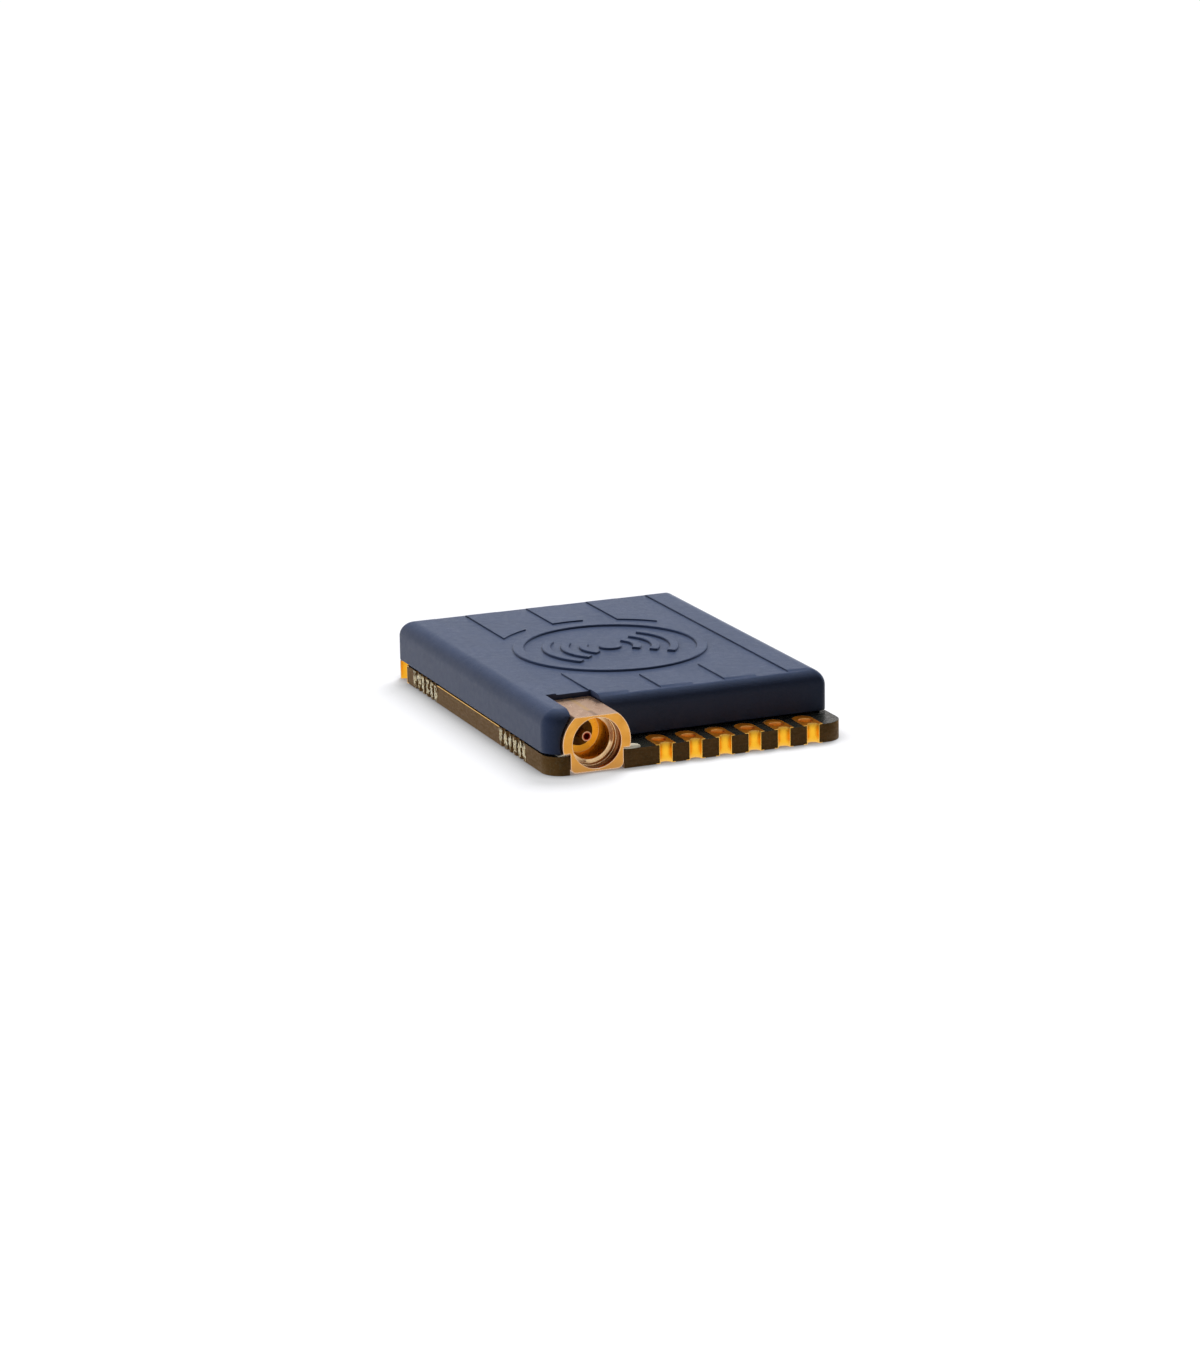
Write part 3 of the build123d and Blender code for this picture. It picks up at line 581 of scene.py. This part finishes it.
# Solder: drawn up the jack's shoulders and under the contact's tail, with a low mound on the
# board beside the jack's right flank. It sets bright, with fine wrinkles and a thin cream film
# of dried flux.

SOLDER_EDGE = 0.04 * MM
SOLDER_GREY = (0.84, 0.78, 0.62)
SOLDER_CREAM = (0.94, 0.86, 0.66)
WRINKLE_DEPTH = 0.05 * MM
MOUND_FROM_AXIS = 2.36 * MM
MOUND_BEHIND_FACE = 0.3 * MM
MOUND_SPANS = (0.64 * MM, 0.27 * MM, 0.25 * MM)
MOUND_SKIRT = -0.2


def set_solder():
    material, tree, shader = new_finish("set_solder")
    film = spread(tree, noise(tree, per_mm=1.6))
    wrinkles = noise(tree, per_mm=3.5, detail=4.0, roughness=0.6)
    drive(
        tree,
        shader,
        base_color=mixed(tree, film, SOLDER_GREY, SOLDER_CREAM),
        roughness=spread(tree, film, low=0.35, high=0.6, start=0.0, end=1.0),
        normal=bump(tree, wrinkles, WRINKLE_DEPTH),
    )
    shader.inputs["Metallic"].default_value = 0.5
    return material


solder = set_solder()
joints = broken_edges("jack_solder_joints", "solder_runs", SOLDER_EDGE)
stand_in(joints, "jack_solder_joints", solder)


def solder_mound():
    """A dome with a short skirt, sunk into the board."""
    middle = Vector((JACK_X + MOUND_FROM_AXIS, JACK_FACE + MOUND_BEHIND_FACE, BOARD_TOP))
    shape = bmesh.new()
    bmesh.ops.create_uvsphere(shape, u_segments=24, v_segments=12, radius=1.0)
    below = [vertex for vertex in shape.verts if vertex.co.z < MOUND_SKIRT]
    bmesh.ops.delete(shape, geom=below, context="VERTS")
    bmesh.ops.transform(shape, matrix=Matrix.Diagonal((*MOUND_SPANS, 1.0)), verts=shape.verts)
    bmesh.ops.translate(shape, vec=middle, verts=shape.verts)
    piece = new_piece(shape, "front_solder_run")
    piece.data.shade_smooth()
    piece.data.materials.append(solder)
    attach(piece, "module")


solder_mound()


# Screening can: a drawn frame and a pressed lid of tinned sheet, soldered over the radio parts,
# with the crystal's can drawn from the same sheet. It keeps faint rolling lines along its length.

ROLLED_DEPTH = 0.004 * MM


def rolled_sheet(name, tone, rough):
    material, tree, shader = new_finish(name)
    lines = noise(tree, per_mm=3.0, detail=4.0, roughness=0.6, stretch=(8.0, 0.3, 8.0))
    drive(
        tree,
        shader,
        base_color=mixed(tree, spread(tree, lines), dimmed(tone, 0.85), tone),
        roughness=spread(tree, lines, *rough),
        normal=bump(tree, lines, ROLLED_DEPTH),
    )
    shader.inputs["Metallic"].default_value = 1.0
    return material


tinned = rolled_sheet("tinned_sheet", tone=(0.72, 0.72, 0.7), rough=(0.28, 0.42))
for node in ("shield_frame", "shield_lid", "crystal"):
    finish_node(node, tinned)


# Parts on the board: black epoxy packages, pressed ferrite and fired ceramic chips, all soldered
# down, and one soft silicone pad. They are dull, each with its own grain.

PACKAGES = (
    "radio_chip",
    "power_amplifier_chip",
    "microcontroller",
    "step_down_regulator",
    "linear_regulator",
)


def dull_body(name, dark, pale, per_mm, rough, depth):
    material, tree, shader = new_finish(name)
    grain = noise(tree, per_mm, detail=4.0, roughness=0.6)
    drive(
        tree,
        shader,
        base_color=mixed(tree, spread(tree, grain), dark, pale),
        roughness=spread(tree, grain, *rough),
        normal=bump(tree, grain, depth),
    )
    return material


epoxy = dull_body(
    "chip_epoxy",
    dark=(0.018, 0.018, 0.02),
    pale=(0.035, 0.035, 0.038),
    per_mm=12.0,
    rough=(0.5, 0.65),
    depth=0.006 * MM,
)
ferrite = dull_body(
    "pressed_ferrite",
    dark=(0.05, 0.05, 0.055),
    pale=(0.09, 0.09, 0.095),
    per_mm=16.0,
    rough=(0.55, 0.8),
    depth=0.012 * MM,
)
tan_chip = dull_body(
    "tan_ceramic",
    dark=(0.33, 0.21, 0.12),
    pale=(0.46, 0.31, 0.19),
    per_mm=7.0,
    rough=(0.35, 0.5),
    depth=0.004 * MM,
)
black_chip = dull_body(
    "black_ceramic",
    dark=(0.03, 0.03, 0.034),
    pale=(0.1, 0.1, 0.105),
    per_mm=7.0,
    rough=(0.3, 0.45),
    depth=0.004 * MM,
)
soft_pad = dull_body(
    "thermal_silicone",
    dark=(0.36, 0.42, 0.52),
    pale=(0.48, 0.54, 0.62),
    per_mm=5.0,
    rough=(0.7, 0.85),
    depth=0.01 * MM,
)
for node in PACKAGES:
    finish_node(node, epoxy)
finish_node("power_inductor", ferrite)
for node in ("bulk_capacitors", "chip_capacitors"):
    finish_node(node, tan_chip)
for node in ("chip_resistors", "low_pass_filter"):
    finish_node(node, black_chip)
finish_node("thermal_gap_pad", soft_pad)


# Button: a black moulded case under a shell of springy sheet, soldered just inside the cover's
# right wall. Its cream plunger slides 0.2 mm inward against the dome.

KEY_EDGE = 0.03 * MM

case_plastic = dull_body(
    "case_moulding",
    dark=(0.02, 0.02, 0.02),
    pale=(0.035, 0.035, 0.035),
    per_mm=10.0,
    rough=(0.45, 0.6),
    depth=0.006 * MM,
)
key_plastic = dull_body(
    "key_moulding",
    dark=(0.6, 0.57, 0.49),
    pale=(0.72, 0.69, 0.62),
    per_mm=6.0,
    rough=(0.35, 0.5),
    depth=0.004 * MM,
)
sprung = rolled_sheet("spring_sheet", tone=(0.7, 0.69, 0.67), rough=(0.16, 0.28))
finish_node("button_case", case_plastic)
finish_node("button_shell", sprung)
finish_node("button_dome", sprung)
finish_node("button_terminals", solder)
key = broken_edges("button_plunger", "cream_key", KEY_EDGE)
stand_in(key, "button_plunger", key_plastic, "button")


# Indicator lamps: small blocks of tinted clear resin, unlit.
# Each is soldered down behind its own window in the right wall.

LAMP_TINTS = {
    "red": (0.75, 0.12, 0.08),
    "green": (0.2, 0.62, 0.2),
    "blue": (0.14, 0.3, 0.8),
}


def tinted_resin(name, tint):
    material, tree, shader = new_finish(name)
    colour = mixed(tree, spread(tree, noise(tree, per_mm=2.0)), dimmed(tint, 0.8), tint)
    rough = spread(tree, noise(tree, per_mm=4.0), low=0.08, high=0.18)
    drive(tree, shader, base_color=colour, roughness=rough)
    shader.inputs["Transmission Weight"].default_value = 0.35
    shader.inputs["IOR"].default_value = 1.5
    return material


for colour_name, tint in LAMP_TINTS.items():
    finish_node(f"lamp_{colour_name}", tinted_resin(f"{colour_name}_resin", tint))


# Floor: a pale seamless sweep that glows softly, so it is white to the eye and brighter still in
# polished metal. Its glow is painted darker close to the object's foot, as a painted contact
# shadow, and it throws little of the lamps' light back onto the object.

FLOOR_SIZE = 12.0
FLOOR_DROP = 0.005 * MM
FLOOR_SEEN = (0.37, 0.37, 0.385)
FLOOR_THROWS_BACK = (0.1, 0.1, 0.105)
GLOW = 0.64
GLOW_IN_GLOSS = 0.95
FOOT_REACH = 1.2 * MM
FOOT_SHADE = 0.8
WHITE = (1, 1, 1)


def seen_by_eye(tree):
    """1 for rays from the camera, from gloss and through glass, and 0 for scattered light."""
    path = add(tree, "LightPath")
    seen = path.outputs["Is Camera Ray"]
    for name in ("Is Glossy Ray", "Is Transmission Ray"):
        seen = worked(tree, "MAXIMUM", seen, path.outputs[name])
    return seen


def pale_sweep():
    """Brighter in gloss than to the eye, with a painted shadow where the object stands on it."""
    material, tree, shader = new_finish("pale_sweep")
    in_frame = add(tree, "LightPath").outputs["Is Camera Ray"]
    colour = mixed(tree, in_frame, FLOOR_THROWS_BACK, FLOOR_SEEN)
    drive(tree, shader, base_color=colour)
    # Painted shadow: the glow is darkened close to the object's foot.
    at_foot = painted_corner_shade(tree, FOOT_REACH, FOOT_SHADE)
    to_eye = spread(tree, at_foot, low=GLOW, high=0.0, start=0.0, end=1.0)
    in_gloss = worked(tree, "MULTIPLY", seen_by_eye(tree), GLOW_IN_GLOSS)
    glow = between(tree, in_frame, in_gloss, to_eye)
    shader.inputs["Emission Color"].default_value = (*WHITE, 1.0)
    tree.links.new(glow, shader.inputs["Emission Strength"])
    shader.inputs["Roughness"].default_value = 1.0
    shader.inputs["Specular IOR Level"].default_value = 0.0
    return material


floor_shape = bmesh.new()
bmesh.ops.create_grid(floor_shape, x_segments=1, y_segments=1, size=FLOOR_SIZE / 2)
floor = new_piece(floor_shape, "floor")
floor.location.z = -FLOOR_DROP
floor.data.materials.append(pale_sweep())


# Studio light: a soft key lamp behind and to the right, and a low weaker bluish one on the left.
# In gloss the room is white about eye level, a little greyer to the right, dark above that, and
# pale again overhead, where a softbox hangs.

LAMPS = (
    ("key_lamp", (0.45, 0.5, 0.74), 4.3, (1.0, 1.0, 1.0)),
    ("side_lamp", (-0.97, 0.2, 0.12), 1.1, (0.82, 0.94, 1.2)),
)
LAMP_BREADTH = math.radians(30.0)
WHITE_UP_TO = 0.3
DARK_FROM = 0.4
BOX_FROM = 0.62
BOX_FULL = 0.8
WHITE_LEFT_OF = 0.3
GREY_RIGHT_OF = 0.6
RIGHT_GREY = (0.7, 0.71, 0.74)
DARK_ABOVE = (0.07, 0.075, 0.09)
SOFTBOX_PALE = (0.8, 0.8, 0.82)
SCATTERED = (0.06, 0.062, 0.07)

for name, toward, strength, tint in LAMPS:
    lamp = bpy.data.lights.new(name, "SUN")
    lamp.energy = strength
    lamp.color = tint
    lamp.angle = LAMP_BREADTH
    stand = bpy.data.objects.new(name, lamp)
    stand.rotation_euler = Vector(toward).to_track_quat("Z", "Y").to_euler()
    stand.visible_glossy = False
    bpy.context.collection.objects.link(stand)


def studio_room():
    """White to the camera, walls with a softbox in gloss, and dim in scattered light."""
    room = bpy.data.worlds.new("room")
    room.use_nodes = True
    tree = room.node_tree
    heading = add(tree, "TexCoord").outputs["Generated"]
    upward = along(tree, heading, "Z")
    rightward = along(tree, heading, "X")
    on_right = spread(tree, rightward, start=WHITE_LEFT_OF, end=GREY_RIGHT_OF)
    above = spread(tree, upward, start=WHITE_UP_TO, end=DARK_FROM)
    overhead = spread(tree, upward, start=BOX_FROM, end=BOX_FULL)
    walls = mixed(tree, above, mixed(tree, on_right, WHITE, RIGHT_GREY), DARK_ABOVE)
    in_gloss = mixed(tree, overhead, walls, SOFTBOX_PALE)
    to_camera = add(tree, "LightPath").outputs["Is Camera Ray"]
    seen = mixed(tree, to_camera, in_gloss, WHITE)
    tone = mixed(tree, seen_by_eye(tree), SCATTERED, seen)
    tree.links.new(tone, tree.nodes["Background"].inputs["Color"])
    return room


bpy.context.scene.world = studio_room()


# Camera: a long lens with a slight roll, which stands left of the front and a little above. It
# sees a frame 1200 wide and 1372 high, and aims a little left of the target and below it.

VIEW_LEFT = math.radians(22.54)
VIEW_ABOVE = math.radians(14.592)
VIEW_ROLL = math.radians(-0.99)
VIEW_DISTANCE = 257.0 * MM
TARGET = Vector((0, 0, 2.5 * MM))
AIM_LEFT = 0.933 * MM
AIM_BELOW = 1.042 * MM
FRAME_HEIGHT = 1372
FOCAL_PIXELS = 3981.0
SENSOR_WIDTH = 36.0
NEAREST = 10 * MM
FARTHEST = 100.0

sight = Vector((
    math.sin(VIEW_LEFT) * math.cos(VIEW_ABOVE),
    math.cos(VIEW_LEFT) * math.cos(VIEW_ABOVE),
    -math.sin(VIEW_ABOVE),
))
eye = TARGET - sight * VIEW_DISTANCE


def camera_axes(forward):
    """Right and up of a camera that looks forward, with its slight roll."""
    level = forward.cross(Vector((0, 0, 1))).normalized()
    upright = level.cross(forward)
    right = level * math.cos(VIEW_ROLL) + upright * math.sin(VIEW_ROLL)
    return right, right.cross(forward)


right, up = camera_axes(sight)
forward = (TARGET - right * AIM_LEFT - up * AIM_BELOW - eye).normalized()
right, up = camera_axes(forward)
turn = Matrix((right, up, -forward)).transposed().to_4x4()

lens = bpy.data.cameras.new("camera")
lens.sensor_width = SENSOR_WIDTH
lens.lens = FOCAL_PIXELS / FRAME_HEIGHT * SENSOR_WIDTH
lens.clip_start = NEAREST
lens.clip_end = FARTHEST
camera = bpy.data.objects.new("camera", lens)
camera.matrix_world = Matrix.Translation(eye) @ turn
bpy.context.collection.objects.link(camera)
bpy.context.scene.camera = camera
bpy.context.scene.view_settings.view_transform = "Standard"
